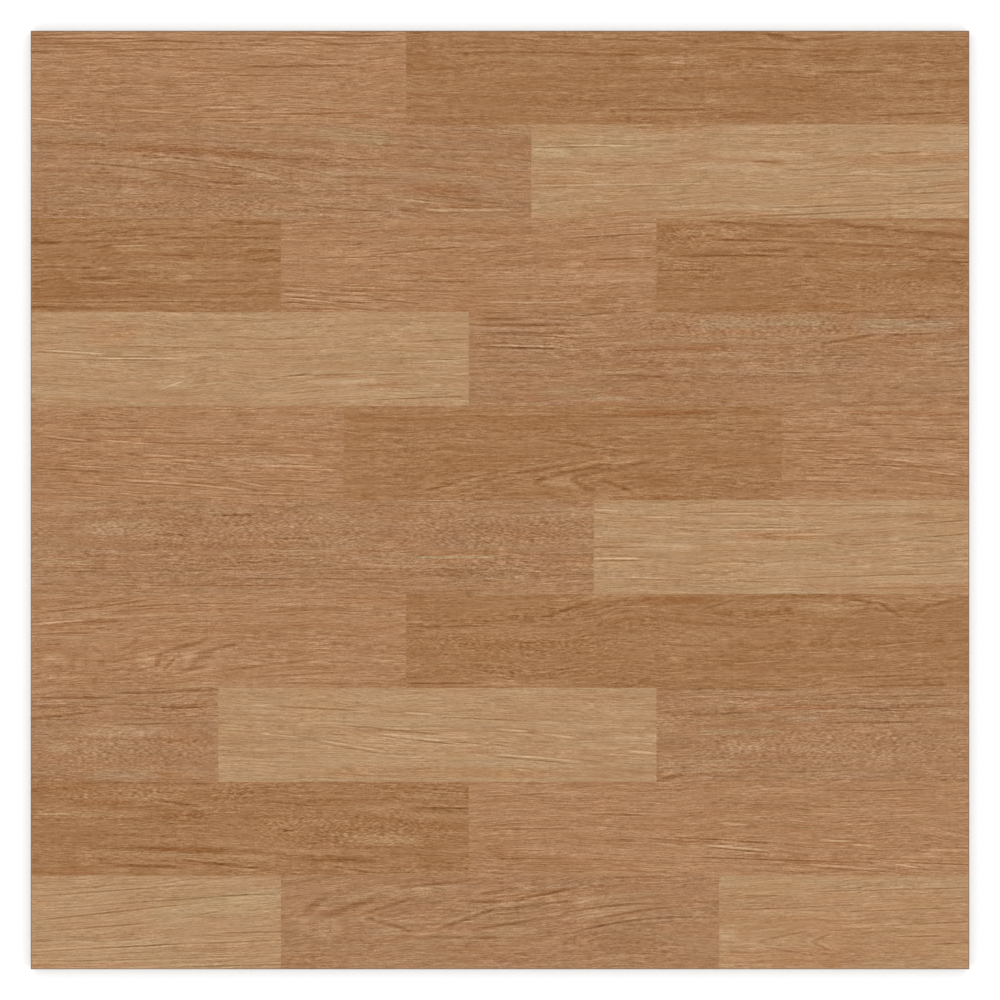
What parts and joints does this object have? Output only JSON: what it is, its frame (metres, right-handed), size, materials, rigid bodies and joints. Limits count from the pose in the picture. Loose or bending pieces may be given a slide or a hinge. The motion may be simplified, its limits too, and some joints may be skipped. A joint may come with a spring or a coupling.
{
  "type": "wood-look floor tile",
  "caption": "Square porcelain floor tile with a flat face printed as staggered strips of oak parquet, narrow bevelled face edges, and a ribbed back that keys into adhesive.",
  "frame": {"origin": "middle of the back, on the crowns of the ribs that the tile rests on", "axes": "+X along the printed grain and the strips, +Y across them towards the first printed row, +Z out of the glazed face"},
  "size_m": [0.598, 0.598, 0.0095],
  "materials": {
    "glazed_porcelain": "matt to satin glaze over a printed oak strip pattern; bare fired body on the sides and back"
  },
  "bodies": {
    "root": {"floor_tile": "glazed_porcelain"}
  },
  "joints": []
}
